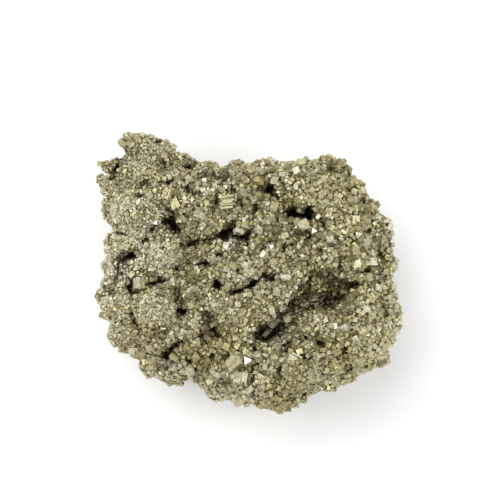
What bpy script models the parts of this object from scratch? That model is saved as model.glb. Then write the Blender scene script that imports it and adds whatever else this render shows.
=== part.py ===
"""A rough pyrite cluster: one stone of intergrown crystals, lying on its broken underside.

The stone starts as a loft of its outline at several heights. Its skin is then creased into knobs, cavities are cut
into its face, cubic crystals are fused to it, and its underside is cut to the plane that it rests on.
Lengths below are in millimetres and angles in degrees, and x, y and z are from the centre of the underside.
"""

import math
import random

import bmesh
import bpy
from mathutils import Euler, Matrix, Vector, noise

MM = 0.001

# The widest outline of the stone, seen from above, clockwise from the top of its left horn.
OUTLINE = [
    (-27.5, 31.8), (-22.0, 31.8), (-18.0, 29.8), (-14.0, 27.0), (-9.5, 25.3), (-4.0, 24.6), (2.5, 25.5),
    (7.5, 25.0), (13.5, 26.6), (20.0, 25.0), (22.0, 21.5), (26.6, 18.2), (29.5, 12.5), (31.5, 7.5),
    (31.2, 4.0), (32.4, -1.0), (32.5, -7.0), (33.4, -11.0), (31.5, -15.0), (29.8, -18.2), (24.6, -21.4),
    (20.0, -23.5), (17.0, -25.4), (11.0, -27.6), (5.0, -30.3), (-1.0, -29.5), (-6.0, -27.5), (-9.0, -28.0),
    (-11.5, -25.5), (-16.0, -24.2), (-22.0, -23.2), (-25.8, -21.0), (-27.0, -18.5), (-31.5, -17.5),
    (-32.6, -13.5), (-32.6, -11.3), (-35.0, -8.5), (-34.6, -4.0), (-32.5, 2.5), (-32.2, 8.0), (-34.0, 14.0),
    (-33.5, 16.5), (-34.0, 19.5), (-34.0, 23.0), (-30.5, 26.0), (-28.8, 28.3),
]

HEIGHT = 33.0
# How the stone narrows above and below that outline: (share of the height, share of the outline).
PROFILE = [
    (0.00, 0.74), (0.08, 0.85), (0.20, 0.92), (0.36, 0.975), (0.54, 1.00), (0.72, 0.985), (0.86, 0.94),
    (0.95, 0.86), (1.00, 0.74),
]
# Round the stone, the sides slope in by more or less than the profile says: (turns of the wave, share, phase).
SLOPE_WAVES = [(2, 0.25, 0.6), (3, 0.25, 2.4), (7, 0.18, 1.1)]

# Broad swells and hollows of the upper face: (x, y, radius, height).
SWELLS = [
    (-18.5, 2.0, 6.5, 2.2), (-20.0, -9.5, 6.0, 2.4), (-27.5, -7.0, 4.5, 1.2), (-13.5, -12.5, 4.0, 1.6),
    (-24.5, 10.0, 7.5, 1.6), (7.0, -20.0, 9.5, 2.4), (-12.0, 18.0, 4.0, 1.2), (-5.0, 12.0, 5.0, 1.6),
    (4.0, 9.5, 5.0, 1.8), (-13.5, -20.5, 5.5, 1.4), (18.0, 11.5, 10.0, 1.8), (21.5, -13.0, 8.0, 1.8),
    (0.0, 1.0, 6.0, 1.2), (-23.5, 23.5, 7.0, -3.0), (-17.0, 12.5, 5.5, 1.0), (12.5, 3.0, 6.0, 0.8),
    (-12.0, 4.5, 3.5, -1.6), (-8.5, -16.0, 3.5, -1.4), (-18.5, -16.0, 3.5, -1.6), (-28.5, 4.0, 3.5, -1.4),
    (-2.5, -10.0, 4.0, 1.0), (15.0, -25.0, 6.0, -1.5), (-20.0, -22.5, 5.0, -2.0),
]
SWELL_FALL = 2.0        # how steeply a swell dies away from its middle
SWELLS_FROM = 0.5       # share of the height above which the swells act, in full from SWELLS_FULL
SWELLS_FULL = 0.75

# The cavities in the upper face: (x, y, length, width, turn from +X, depth).
CAVITIES = [
    (15.5, -5.0, 14.5, 7.0, 25, 6.5),
    (9.0, -8.0, 6.5, 4.0, 50, 5.0),
    (3.5, -12.5, 10.5, 5.0, 38, 7.0),
    (21.5, -2.5, 5.5, 3.2, 20, 6.0),
    (9.5, 10.5, 8.5, 3.4, -12, 7.0),
    (3.5, 15.0, 3.8, 3.4, 60, 4.5),
    (-16.5, 8.0, 5.0, 3.6, -35, 5.0),
    (-5.5, 6.5, 6.6, 3.0, 34, 6.0),
    (-2.5, 5.0, 4.8, 2.4, 8, 4.5),
    (-12.5, 4.0, 4.8, 2.4, 12, 3.0),
    (-25.5, 2.0, 4.8, 2.8, 28, 5.0),
    (-24.0, -5.0, 3.0, 3.4, 0, 4.0),
    (3.0, -2.5, 4.4, 2.6, -14, 4.5),
    (-2.0, -4.5, 6.0, 2.8, 22, 5.0),
    (-7.5, -3.5, 2.6, 3.6, 0, 4.5),
    (-14.0, -10.0, 3.6, 2.4, 10, 4.0),
    (-16.0, -17.0, 6.4, 2.8, 30, 4.5),
    (-8.0, -11.5, 3.0, 3.2, 0, 3.0),
    (13.0, -15.5, 3.2, 2.8, -40, 3.0),
    (-28.0, 19.0, 3.8, 2.6, 48, 4.0),
]
CAVITY_LUMPS = 0.25     # how far a cavity's wall strays from a smooth egg, as a share of its radius
CAVITY_WAVES = 1.3      # and how many waves of it go across a radius

SKIN_STEP = 0.9         # spacing of the skin's points while it is shaped
# Knobs of the skin, large and small: (from one to the next, depth of the creases between them).
KNOBS = [(6.8, 2.3), (3.1, 1.1)]
CREASE_REACH = 0.8      # share of that spacing from a knob's crown to where a crease is deepest
CREASE_POWER = 2.5      # how late on the way there the skin starts to sink
BREAK_SPACING = 14.0    # of the steps and hollows that the knobs lie on
BREAK_DEPTH = 2.4
BREAK_CONTRAST = 1.8    # how much of the skin lies at that whole depth
SKIN_TRIANGLES = 5000   # left of the skin once it is thinned to flat facets

# The largest crystals of the upper face: (x, y, three edges, turn from +X, tilt).
LARGE_CRYSTALS = [
    (-5.5, 12.0, (3.3, 2.8, 2.8), 15, 20),
    (-4.0, -20.5, (4.2, 3.2, 3.2), 35, 35),
    (-2.5, -23.0, (3.2, 2.6, 2.6), -10, 40),
    (7.5, -19.5, (3.2, 3.0, 2.8), -20, 25),
    (-23.0, -4.0, (2.3, 2.8, 2.6), 5, 15),
    (-16.0, 12.0, (2.0, 3.2, 2.6), -25, 10),
    (9.5, 7.5, (2.8, 2.8, 2.6), 40, 30),
    (22.5, 1.0, (6.0, 2.0, 2.4), 3, 12),
    (-9.5, -12.5, (2.7, 2.7, 2.5), 30, 25),
    (-23.5, -16.5, (2.8, 2.0, 2.4), 0, 30),
    (13.5, -5.0, (2.6, 1.8, 2.2), -20, 20),
    (17.5, -13.5, (2.5, 2.5, 2.3), 25, 15),
]
GROUPS = 46             # of crystals grown together
GROUP_CRYSTALS = (2, 4) # fewest and most in one group
GROUP_APART = 4.0
CRYSTAL_EDGE = (2.0, 3.5)       # of the main crystal of a group
LESSER_SHARE = (0.55, 0.85)     # edges of its other crystals, as shares of the main one's
UNEVEN = (0.85, 1.2)    # a crystal's edges, as shares of the edge it is given
BESIDE = (0.5, 0.9)     # how far the others grow from the main one, as a share of its edge
TWIST = 16              # most that the crystals of a group are turned from each other
CRYSTAL_SUNK = 0.20     # share of its edge that a crystal's centre lies under the skin
FOOT_CLEAR = 5.0        # no group is centred lower than this
CAVITY_CLEAR = 1.0      # nor nearer than this to the ends of a cavity
FOOT_CUT = 1.5          # what the resting plane takes off the lowest knobs
SEED = 5


def new_object(name, mesh, collection):
    obj = bpy.data.objects.new(name, mesh)
    collection.objects.link(obj)
    return obj


def new_helper(name, bm, collection):
    """An object that only takes part in Booleans."""
    helper = new_object(name, mesh_of(bm, name), collection)
    helper.hide_render = True
    helper.display_type = "WIRE"


def mesh_of(bm, name):
    mesh = bpy.data.meshes.new(name)
    bm.to_mesh(mesh)
    bm.free()
    return mesh


def collection_named(name):
    made = bpy.data.collections.new(name)
    bpy.context.scene.collection.children.link(made)
    return made


def apply_modifiers(obj):
    """Replaces obj's mesh with what its modifiers make of it."""
    graph = bpy.context.evaluated_depsgraph_get()
    graph.update()
    made = bpy.data.meshes.new_from_object(obj.evaluated_get(graph))
    obj.modifiers.clear()
    obj.data = made


def boolean(obj, operation, helpers):
    modifier = obj.modifiers.new(operation.lower(), "BOOLEAN")
    modifier.operation = operation
    modifier.operand_type = "COLLECTION"
    modifier.collection = helpers
    modifier.solver = "EXACT"
    apply_modifiers(obj)


def even_skin(obj):
    """Gives obj one closed skin of even quads."""
    skin = obj.modifiers.new("skin", "REMESH")
    skin.mode = "VOXEL"
    skin.voxel_size = SKIN_STEP * MM
    apply_modifiers(obj)


def thin_skin(obj):
    """Merges the skin's quads into flat facets."""
    thin = obj.modifiers.new("thin", "DECIMATE")
    thin.use_collapse_triangulate = True
    obj.data.calc_loop_triangles()
    thin.ratio = SKIN_TRIANGLES / len(obj.data.loop_triangles)
    apply_modifiers(obj)


def slope_factor(bearing):
    """How much of the profile's inset the side has at this bearing from the centre."""
    return 1.0 + sum(share * math.sin(turns * bearing + phase) for turns, share, phase in SLOPE_WAVES)


def lofted_blank():
    """The outline lofted through the profile, closed above and below."""
    bm = bmesh.new()
    centre = Vector((sum(x for x, _ in OUTLINE), sum(y for _, y in OUTLINE))) / len(OUTLINE)
    rings = []
    for height_share, outline_share in PROFILE:
        ring = []
        for x, y in OUTLINE:
            spoke = Vector((x, y)) - centre
            inset = (1.0 - outline_share) * slope_factor(math.atan2(spoke.y, spoke.x))
            across = centre + spoke * (1.0 - inset)
            ring.append(bm.verts.new((across.x * MM, across.y * MM, HEIGHT * height_share * MM)))
        rings.append(ring)
    count = len(OUTLINE)
    for lower, upper in zip(rings, rings[1:]):
        for i in range(count):
            j = (i + 1) % count
            bm.faces.new((lower[i], lower[j], upper[j], upper[i]))
    bm.faces.new(rings[0])
    bm.faces.new(rings[-1])
    bmesh.ops.recalc_face_normals(bm, faces=bm.faces)
    return mesh_of(bm, "blank")


def swell(point):
    """How far the swells and hollows lift the upper face at this point."""
    above = (point.z / HEIGHT - SWELLS_FROM) / (SWELLS_FULL - SWELLS_FROM)
    lift = 0.0
    for x, y, radius, height in SWELLS:
        away = math.hypot(point.x - x, point.y - y) / radius
        lift += height * math.exp(-SWELL_FALL * away * away)
    return lift * min(1.0, max(0.0, above))


def crease(point, spacing):
    """0 on a knob's crown and up to 1 in the creases where it meets its neighbours."""
    nearest = noise.voronoi(point / spacing, distance_metric="DISTANCE")[0][0]
    return min(1.0, (nearest / CREASE_REACH) ** CREASE_POWER)


def broken(point):
    """0 to 1: how deep the old break that the crystals grew on lies at this point."""
    return min(1.0, abs(noise.noise(point / BREAK_SPACING)) * BREAK_CONTRAST)


def shape_skin(mesh):
    """Moves the skin's points in at the creases and breaks, and the upper face to its swells."""
    normals = [v.normal.copy() for v in mesh.vertices]
    for vertex, normal in zip(mesh.vertices, normals):
        point = vertex.co / MM
        sunk = BREAK_DEPTH * broken(point)
        sunk += sum(depth * crease(point, spacing) for spacing, depth in KNOBS)
        vertex.co -= normal * sunk * MM
        vertex.co.z += max(0.0, normal.z) * swell(point) * MM


def place_above(obj, x, y):
    """Where a line straight down at x, y meets the stone, and the normal there, in metres."""
    _, place, normal, _ = obj.ray_cast((x * MM, y * MM, 2 * HEIGHT * MM), (0, 0, -1))
    return place, normal


def cut_cavities(obj, cutters):
    """Hollows each cavity out with a lumpy egg that is centred on the upper face."""
    for index, (x, y, length, width, turn, depth) in enumerate(CAVITIES):
        bm = bmesh.new()
        bmesh.ops.create_icosphere(bm, subdivisions=3, radius=1.0)
        for vertex in bm.verts:
            lump = noise.noise(vertex.co * CAVITY_WAVES + Vector((index, 0, 0)) * math.pi)
            vertex.co *= 1.0 + CAVITY_LUMPS * lump
        sides = Matrix.Diagonal((length / 2 * MM, width / 2 * MM, depth * MM, 1.0))
        turned = Matrix.Rotation(math.radians(turn), 4, "Z")
        place, _ = place_above(obj, x, y)
        bmesh.ops.transform(bm, matrix=Matrix.Translation(place) @ turned @ sides, verts=bm.verts)
        new_helper(f"cavity_cutter_{index:02d}", bm, cutters)
    boolean(obj, "DIFFERENCE", cutters)


def add_crystal(point, normal, edges, turned, helpers):
    """One box-shaped crystal, with its centre a little under the skin."""
    sides = Matrix.Diagonal([edge * MM for edge in edges] + [1.0])
    centre = point - normal * min(edges) * CRYSTAL_SUNK * MM
    bm = bmesh.new()
    bmesh.ops.create_cube(bm, size=1.0, matrix=Matrix.Translation(centre) @ turned.to_4x4() @ sides)
    new_helper(f"crystal_{len(helpers.objects):03d}", bm, helpers)


def add_large_crystals(obj, helpers):
    for x, y, edges, turn, tilt in LARGE_CRYSTALS:
        place, normal = place_above(obj, x, y)
        turned = Euler((math.radians(tilt), 0, math.radians(turn))).to_matrix()
        add_crystal(place, normal, edges, turned, helpers)


def in_cavity(point):
    return any(
        math.hypot(point.x / MM - x, point.y / MM - y) < length / 2 + CAVITY_CLEAR
        for x, y, length, _, _, _ in CAVITIES
    )


def random_turn(chance, most):
    """A rotation by up to most radians about each axis."""
    return Euler([chance.uniform(-most, most) for _ in range(3)]).to_matrix()


def random_edges(chance, edge):
    return [edge * chance.uniform(*UNEVEN) for _ in range(3)]


def group_places(obj, chance):
    """Random points of the skin with their normals, apart from each other and clear of cavities and foot."""
    mesh = obj.data
    areas = [p.area for p in mesh.polygons]
    places = []
    while len(places) < GROUPS:
        face = mesh.polygons[chance.choices(range(len(areas)), areas)[0]]
        too_near = any((face.center - other).length < GROUP_APART * MM for other, _ in places)
        if face.center.z > FOOT_CLEAR * MM and not too_near and not in_cavity(face.center):
            places.append((face.center.copy(), face.normal.copy()))
    return places


def add_groups(obj, chance, helpers):
    """Groups of crystals, each group turned nearly one way."""
    for point, normal in group_places(obj, chance):
        main_edge = chance.uniform(*CRYSTAL_EDGE)
        main_turn = random_turn(chance, math.pi)
        add_crystal(point, normal, random_edges(chance, main_edge), main_turn, helpers)
        for _ in range(chance.randint(*GROUP_CRYSTALS) - 1):
            aside = random_turn(chance, math.pi) @ normal.orthogonal().normalized()
            _, near, near_normal, _ = obj.closest_point_on_mesh(
                point + aside * main_edge * chance.uniform(*BESIDE) * MM
            )
            edges = random_edges(chance, main_edge * chance.uniform(*LESSER_SHARE))
            turned = main_turn @ random_turn(chance, math.radians(TWIST))
            add_crystal(near, near_normal, edges, turned, helpers)


def cut_foot(obj, cutters):
    """Cuts the lowest knobs off at the plane that the stone rests on."""
    low = min(v.co.z for v in obj.data.vertices)
    side = 4 * HEIGHT
    bm = bmesh.new()
    below = Matrix.Translation((0, 0, low + (FOOT_CUT - side / 2) * MM))
    bmesh.ops.create_cube(bm, size=side * MM, matrix=below)
    new_helper("foot_cutter", bm, cutters)
    boolean(obj, "DIFFERENCE", cutters)


def stand_on_origin(mesh):
    """Moves the stone so that the origin is the centre of its box's underside."""
    low = [min(v.co[i] for v in mesh.vertices) for i in range(3)]
    high = [max(v.co[i] for v in mesh.vertices) for i in range(3)]
    centre = Vector(((low[0] + high[0]) / 2, (low[1] + high[1]) / 2, low[2]))
    mesh.transform(Matrix.Translation(-centre))


def pyrite_material():
    material = bpy.data.materials.new("pyrite")
    material.use_nodes = True
    shader = material.node_tree.nodes["Principled BSDF"]
    shader.inputs["Base Color"].default_value = (0.42, 0.37, 0.22, 1.0)
    shader.inputs["Metallic"].default_value = 1.0
    shader.inputs["Roughness"].default_value = 0.35
    return material


def make_cluster():
    chance = random.Random(SEED)
    stone = new_object("pyrite_cluster", lofted_blank(), collection_named("pyrite_specimen"))
    even_skin(stone)
    shape_skin(stone.data)
    bpy.context.view_layer.update()
    cut_cavities(stone, collection_named("cavity_cutters"))
    even_skin(stone)
    thin_skin(stone)

    crystals = collection_named("crystals")
    bpy.context.view_layer.update()
    add_large_crystals(stone, crystals)
    add_groups(stone, chance, crystals)
    boolean(stone, "UNION", crystals)
    cut_foot(stone, collection_named("foot_cutters"))
    stand_on_origin(stone.data)
    stone.data.materials.clear()
    stone.data.materials.append(pyrite_material())


for leftover in list(bpy.data.objects):
    bpy.data.objects.remove(leftover, do_unlink=True)
make_cluster()
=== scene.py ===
"""The looks of a pyrite specimen: a knobbly mass overgrown with small crystals, in plain soft studio light.

Lengths are in millimetres and angles in degrees unless a name says otherwise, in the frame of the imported
model: the origin is the centre of the underside, +X along the stone and +Z up. A place on the upper face is
given by the pixel of the 500 x 500 photograph that it shows at, and found on the stone through the camera.
"""

import math

import bpy
import numpy as np
from mathutils import Matrix, Vector, noise
from mathutils.bvhtree import BVHTree


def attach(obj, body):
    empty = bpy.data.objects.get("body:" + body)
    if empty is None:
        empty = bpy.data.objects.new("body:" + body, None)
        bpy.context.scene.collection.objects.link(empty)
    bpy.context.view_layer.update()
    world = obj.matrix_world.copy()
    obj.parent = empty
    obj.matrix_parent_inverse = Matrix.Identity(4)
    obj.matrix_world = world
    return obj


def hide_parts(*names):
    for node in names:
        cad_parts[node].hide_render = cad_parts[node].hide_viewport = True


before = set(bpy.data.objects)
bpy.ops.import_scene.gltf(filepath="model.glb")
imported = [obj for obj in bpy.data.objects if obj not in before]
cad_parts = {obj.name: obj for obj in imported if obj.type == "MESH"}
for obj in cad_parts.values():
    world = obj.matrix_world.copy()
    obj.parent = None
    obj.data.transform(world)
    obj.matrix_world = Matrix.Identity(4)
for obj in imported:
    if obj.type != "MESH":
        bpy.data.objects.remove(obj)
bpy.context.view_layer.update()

MM = 0.001
NODE, BODY, SLOT = "pyrite_cluster", "root", "pyrite"
SEED = 7

# --- The camera, which the places below depend on ---
IMAGE_SIDE = 500
LENS, SENSOR = 100.0, 36.0
CAMERA_ELEVATION = 82.0
CAMERA_DISTANCE = 293.0
CAMERA_AIM = (0.2, 5.3, 16.5)
PIXELS_PER_MM = 4.9         # on the upper face

# --- The mass under the crystals ---
MASS_STEP = 0.5             # spacing of its points
MASS_SUNK = 0.40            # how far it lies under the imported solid's skin, to leave room for the crystals
BUNCHES = [(6.4, 1.6), (2.7, 1.1)]   # bunches of crystals: (from one to the next, depth between them)
CREASE_REACH, CREASE_POWER = 0.8, 3.0
MOST_SUNK = ((3.0, 0.22), (8.0, 0.42))   # how far at most, as a share of the stone's thickness there, by thickness
FOOT_BAND = 0.5             # the skin this near the foot's plane stays on it

# Rounded lumps of the upper face: (pixel x, pixel y, radius, height, how sugary its crystals are).
LUMPS = [
    (161, 253, 4.6, 1.2, 1.0), (154, 308, 4.4, 1.2, 1.0), (114, 300, 3.8, 0.9, 0.8), (187, 325, 2.9, 1.6, 1.0),
    (126, 212, 4.0, 0.9, 0.7), (148, 158, 5.0, 0.7, 0.5), (290, 362, 6.0, 1.0, 0.3), (193, 175, 2.4, 0.8, 0.2),
    (268, 211, 3.0, 0.9, 0.3), (185, 369, 3.4, 0.8, 0.5), (350, 266, 2.6, 1.0, 0.2), (140, 188, 3.8, 0.8, 0.4),
    (214, 258, 3.4, 0.6, 0.2), (247, 262, 3.4, 0.7, 0.3), (203, 205, 3.2, 0.8, 0.1), (330, 190, 5.0, 0.6, 0.4),
    (222, 300, 3.6, 0.7, 0.2), (344, 345, 3.6, 0.7, 0.2), (375, 345, 3.4, 0.6, 0.4), (282, 245, 3.6, 0.6, 0.2),
    (150, 233, 3.0, 0.9, 0.9), (118, 242, 3.2, 0.8, 0.8), (114, 338, 3.8, 1.3, 0.7), (102, 303, 3.0, 0.9, 0.7), (131, 352, 2.8, 0.7, 0.5), (240, 165, 3.6, 0.5, 0.6),
    (160, 374, 4.4, 0.6, 0.8), (300, 380, 4.4, 0.5, 0.8),
]
LUMP_TONE = 0.28            # how much paler the sugary crystals are than the others
EVENER = 0.75               # how much less they differ from each other
LUMP_RING, LUMP_RING_WIDE = 1.12, 0.15      # the crease round a lump: its radius and width, as shares of the lump's
SIDE_PATCHES = 11.0         # from one sugary patch of the sides to the next
# RING_SHADE is painted shade: crystals in the crease round a lump of sugar count as less open and are coloured darker.
RING_DEPTH, RING_SHADE = 0.55, 0.50  # its depth, and how much less open its crystals count as, round a lump of sugar
LUMP_REACH = 1.3            # times its radius, beyond which a lump raises nothing

# Swells and dents of the stone's edge as the camera sees it: the height of each outwards, one for every 5 degrees
# anticlockwise from the picture's right, round the pixel EDGE_MIDDLE.
EDGE_SWELLS = [
    0.75, 0.25, -0.75, 0.75, 0, 0, 0, 1, -0.75, 0, 0, 0.25,   # from 0 degrees
    2.25, 1.5, -0.25, -0.25, -0.5, 1.25, -0.25, -0.25, 0.75, 1.25, -0.75, 1,   # from 60 degrees
    0.5, 1, -0.25, 0.75, 0, 0.5, -1.25, 0.75, 1.25, -1.25, 1.5, 0.75,   # from 120 degrees
    0.25, 0.25, 1.25, 0.75, -0.5, 0, 0, 0.25, 1.25, -0.75, 0, -0.5,   # from 180 degrees
    1, -0.25, 2, -1.75, -3.5, -2.5, -1, 0, 0.5, -1, -0.75, 0,   # from 240 degrees
    -0.5, 1.25, 0, -3, 0.5, -3.25, 0.5, 0, 0.25, -0.75, 0.5, 0.25,   # from 300 degrees
]
EDGE_MIDDLE = (250, 275)
SWELL_RADIUS = 3.4

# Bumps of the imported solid's outline that are smoothed away: (x, y, z, radius).
FLATTENED = [(27.0, 16.5, 16.9, 4.6), (16.5, -24.0, 16.4, 4.6)]
FLATTEN_STEPS = 120

# Pits and crevices of the upper face: (pixel x, pixel y, half length and half width in pixels, turn
# anticlockwise from the picture's right, depth).
PITS = [
    (291, 212, 8, 5, -25, 6.0), (300, 216, 7, 3, 0, 5.5), (309, 214, 6, 8, 0, 6.5), (270, 190, 6, 5, 20, 5.5),
    (277, 197, 4, 2, -40, 3.5), (165, 222, 4, 3, -30, 5.5), (174, 226, 8, 5, -40, 5.0), (172, 214, 6, 6, -30, 2.6),
    (222, 235, 8, 5, 12, 6.0), (229, 229, 8, 5, 45, 5.5), (234, 223, 5, 4, 50, 5.5), (243, 237, 8, 2, 5, 4.0),
    (251, 231, 2, 5, -30, 3.2), (193, 243, 7, 4, 10, 3.6), (183, 246, 4, 2.5, 0, 2.4), (208, 240, 6, 1.5, 5, 3.0),
    (132, 255, 5, 4, 25, 6.0), (123, 259, 5, 1.0, 25, 3.4), (133, 291, 4, 4, 20, 5.5), (134, 281, 1, 3, -10, 4.5),
    (156, 283, 7, 2.5, 4, 2.6), (164, 282, 3, 2, 20, 3.0), (217, 284, 4, 6, 10, 5.5), (264, 275, 4, 2.5, -45, 5.5),
    (272, 278, 5, 1, 8, 4.5), (252, 284, 5, 4, 30, 6.0), (238, 291, 6, 2.5, 0, 4.8), (291, 305, 4, 5, 0, 6.0),
    (265, 333, 12, 9, 12, 4.0), (274, 329, 13, 11, 38, 3.3), (284, 319, 11, 9, 50, 3.0), (257, 335, 4, 4, 0, 5.0),
    (300, 291, 18, 3.5, 53, 4.5), (325, 275, 14, 5, 5, 2.4), (303, 302, 9, 8, 45, 1.8), (318, 290, 13, 12, 15, 1.5), (317, 303, 7, 7, 0, 1.9), (337, 287, 14, 12, 0, 1.6),
    (326, 305, 11, 5, 8, 2.1), (343, 299, 6, 3, 22, 3.6), (354, 285, 4, 3, 30, 5.0), (341, 282, 6, 5, 0, 2.2),
    (365, 271, 8, 1.5, 3, 3.4), (306, 311, 8, 3, 10, 2.4), (181, 311, 6, 3, -5, 5.5),
    (179, 300, 3, 5, 0, 2.8), (174, 290, 3, 2, 0, 2.6), (167, 353, 4, 5, -20, 5.5), (176, 344, 8, 2, 25, 4.2),
    (206, 313, 5, 3, 10, 3.0), (213, 324, 3, 8, 10, 2.8), (218, 337, 2, 6, 0, 2.6), (201, 338, 2, 6, 10, 2.4),
    (114, 176, 3, 1.5, 45, 3.0), (118, 168, 3, 2, 50, 3.6), (187, 168, 3, 2.5, 0, 3.4), (196, 163, 4, 1.5, -5, 3.0),
    (219, 255, 3, 2.5, 0, 4.2), (205, 264, 4, 2, 5, 3.0), (238, 272, 2, 3, 0, 3.4), (321, 343, 6, 2.5, -35, 4.2),
    (344, 351, 2, 9, -5, 3.0), (347, 366, 3, 4, 20, 3.0), (340, 374, 3, 2, 0, 3.0), (252, 369, 1.5, 5, 0, 2.4),
    (254, 348, 1.5, 5, 10, 3.0), (253, 379, 3, 2, 0, 3.4), (228, 358, 3, 3, 0, 3.4), (212, 355, 3, 3, 30, 2.8),
    (190, 363, 3, 4, 30, 3.4), (197, 370, 5, 2, -30, 3.0), (233, 192, 3, 3, 0, 3.2), (221, 183, 2, 4, 20, 2.2),
    (217, 202, 2, 5, 0, 3.2), (189, 190, 2, 4, 30, 2.8), (197, 194, 5, 1.5, 30, 3.0), (247, 178, 6, 1.5, -40, 3.0),
    (241, 205, 1.5, 4, 10, 2.8), (256, 207, 2.5, 7, -15, 2.8), (263, 247, 4, 4, 0, 2.6), (288, 246, 7, 2.5, 10, 3.2),
    (308, 239, 4, 2.5, 0, 3.0), (339, 265, 1.5, 5, 0, 3.0), (341, 257, 5, 1.0, 20, 2.6), (379, 254, 2, 4, 10, 3.0),
    (367, 230, 3, 3, 0, 2.6), (324, 226, 4, 2, -20, 2.4), (135, 319, 1.5, 11, 27, 3.0), (170, 183, 6, 2, 10, 3.0),
    (144, 184, 5, 2.5, 30, 2.6), (138, 196, 4, 2.5, 10, 3.2), (163, 166, 3, 6, 20, 2.4), (158, 143, 4, 2, -10, 2.4),
    (347, 178, 3, 2, 20, 2.8), (332, 172, 4, 2, -20, 2.6), (305, 338, 3, 2, 20, 2.8), (302, 355, 3, 1.5, 0, 2.6),
    (281, 370, 1.5, 4, 0, 2.6), (256, 395, 5, 1.5, -15, 2.6), (292, 396, 7, 1.5, -5, 2.6), (224, 380, 4, 2, -20, 2.6),
    (122, 235, 8, 1.0, -8, 3.2), (146, 240, 3, 2, 20, 3.2), (152, 231, 4, 1.0, 50, 3.0), (177, 268, 3, 2, 0, 2.2),
    (307, 263, 6, 1, -30, 2.4), (352, 215, 1.5, 4, 0, 2.2), (285, 345, 6, 1.5, 30, 2.4), (320, 250, 2, 4, 30, 2.2),
]
PIT_ROOM = 2.2              # pixels added all round a pit, for the crystals on its rim
PIT_RAGGED = 0.35           # how far a pit's edge strays, as a share of its size
PIT_WAVES = 7.0             # pixels from one stray of the edge to the next
PIT_WALL = (1.05, 0.80)     # a pit starts at the first of these shares of its size, and is at full depth at the second
# PIT_SHADE and DARK_DEPTH set the painted shade of the crystals in a pit.
PIT_SHADE = (1.22, 0.80)    # its crystals darken from the first of these shares to the second
DARK_DEPTH = 4.2            # a pit this deep is dark to the full
RIM_EDGE = 0.80             # the longest edge of a crystal in a pit or on its rim
FILL_FROM, FILL_SHARE = 1.3, 0.85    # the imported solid's hollows are filled by this share beyond this depth,
                            # where no pit of the list is
ENVELOPE_STEP = 3           # pixels between the places where the height of the upper face is read
ENVELOPE_REACH = 5          # of those steps that the highest place is looked for
PITS_FROM = 14.0            # height over the table above which pits are cut, in full 3 mm higher

# Pits of the sides and the underside, at chance places.
SIDE_PITS, SIDE_PIT_GAP = 64, 4.0   # how many at most, and from one to the next
SIDE_PIT_RADII, SIDE_PIT_DEPTHS = (0.8, 2.0), (1.6, 4.2)
SIDE_TOP, SIDE_BOTTOM = 20.0, 3.0   # heights over the table that they lie between

# --- The crystals ---
EDGE = 0.72                 # of an ordinary one
FINE_EDGE = 0.54            # on the sugary patches
ACROSS = ((150, 0.92, 0.00), (260, 1.20, 0.00), (340, 1.25, 0.10))     # (pixel x, how much larger the crystals of
                            # the upper face are there, how much yellower)
EDGE_SPREAD = 0.28          # of an edge from one crystal to the next, as a share
EDGE_LIMITS = (0.38, 1.6)
BOLD, BOLD_SIZE = 900, 1.65         # this many of the candidates come first, this much larger than the others
# VALLEY_SHADE, LEAST_OPEN and LARGE_SHADE set painted shade: a crystal that counts as less open is coloured darker.
VALLEY_SHADE = 0.55         # how much less open a crystal counts as in the creases between bunches
LEAST_OPEN = 0.40           # how open a crystal counts as at least, where no pit of the list is
IN_PITS = 0.50              # of the crystals that a dark pit has room for, the share that grows there
LARGE_SHADE = 0.2           # how much less open a large crystal counts as in a dark pit
CLOSEST = 0.78              # from one crystal's centre to the next, as a share of their edges
CANDIDATES = 300_000
OUTWARD = (-0.10, 0.45)     # how far a centre stands out of the mass, as a share of the edge
OUTWARD_EDGE = 0.85         # or of this, for a longer edge
# Painted shade on the crystals' lowest corners:
LOW, LOW_FROM, LOW_TO = 0.22, -0.20, 0.42    # a corner counts as open by this share when it lies this high over the
                            # mass, and fully at the second height
BUNCH_SPACING = 2.6         # crystals this near grow turned nearly alike
BUNCH_TWIST = 28.0
# Where the crystals are brown, partly a stain and partly painted shade: (pixel x, pixel y, radius in pixels, how much).
STAIN_AND_SHADE_AREAS = [
    (202, 362, 10, 0.9), (134, 326, 8, 0.7), (205, 336, 12, 0.5), (340, 352, 11, 0.6), (322, 288, 20, 0.7),
    (347, 288, 12, 0.7), (266, 326, 15, 0.4), (232, 346, 12, 0.3), (152, 338, 14, 0.6), (270, 398, 22, 0.4),
    (196, 242, 12, 0.5), (190, 168, 14, 0.4), (270, 191, 10, 0.5), (380, 250, 14, 0.35), (345, 150, 12, 0.3),
    (300, 400, 18, 0.35), (122, 345, 10, 0.4),
]
# Where they are paler or duller, partly their own tone and partly painted light and shade: (pixel x, pixel y, radius in
# pixels, how much).
TONE_AND_LIGHT_AREAS = [
    (108, 268, 24, 0.70), (108, 300, 18, 0.34), (142, 212, 18, 0.32), (142, 250, 22, 0.44), (136, 356, 20, -0.42),
    (345, 178, 26, -0.30), (228, 355, 20, -0.45), (128, 176, 16, -0.15), (288, 204, 14, -0.20), (350, 360, 16, -0.40),
    (290, 392, 22, -0.25), (165, 208, 14, -0.20), (385, 240, 16, 0.20), (255, 352, 12, 0.20), (225, 262, 18, 0.18),
    (285, 332, 14, 0.20), (187, 325, 12, 0.22), (172, 232, 14, 0.12), (250, 178, 16, -0.20), (300, 375, 20, -0.20), (190, 290, 14, -0.30), (340, 290, 18, 0.70), (318, 296, 12, 0.35), (268, 330, 14, 0.30), (205, 350, 14, -0.15), (345, 262, 12, -0.25),
]
# The shares of crystal forms.
FORMS = [("cube", 0.62), ("cut_cube", 0.16), ("pyritohedron", 0.16), ("octahedron", 0.06)]

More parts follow.
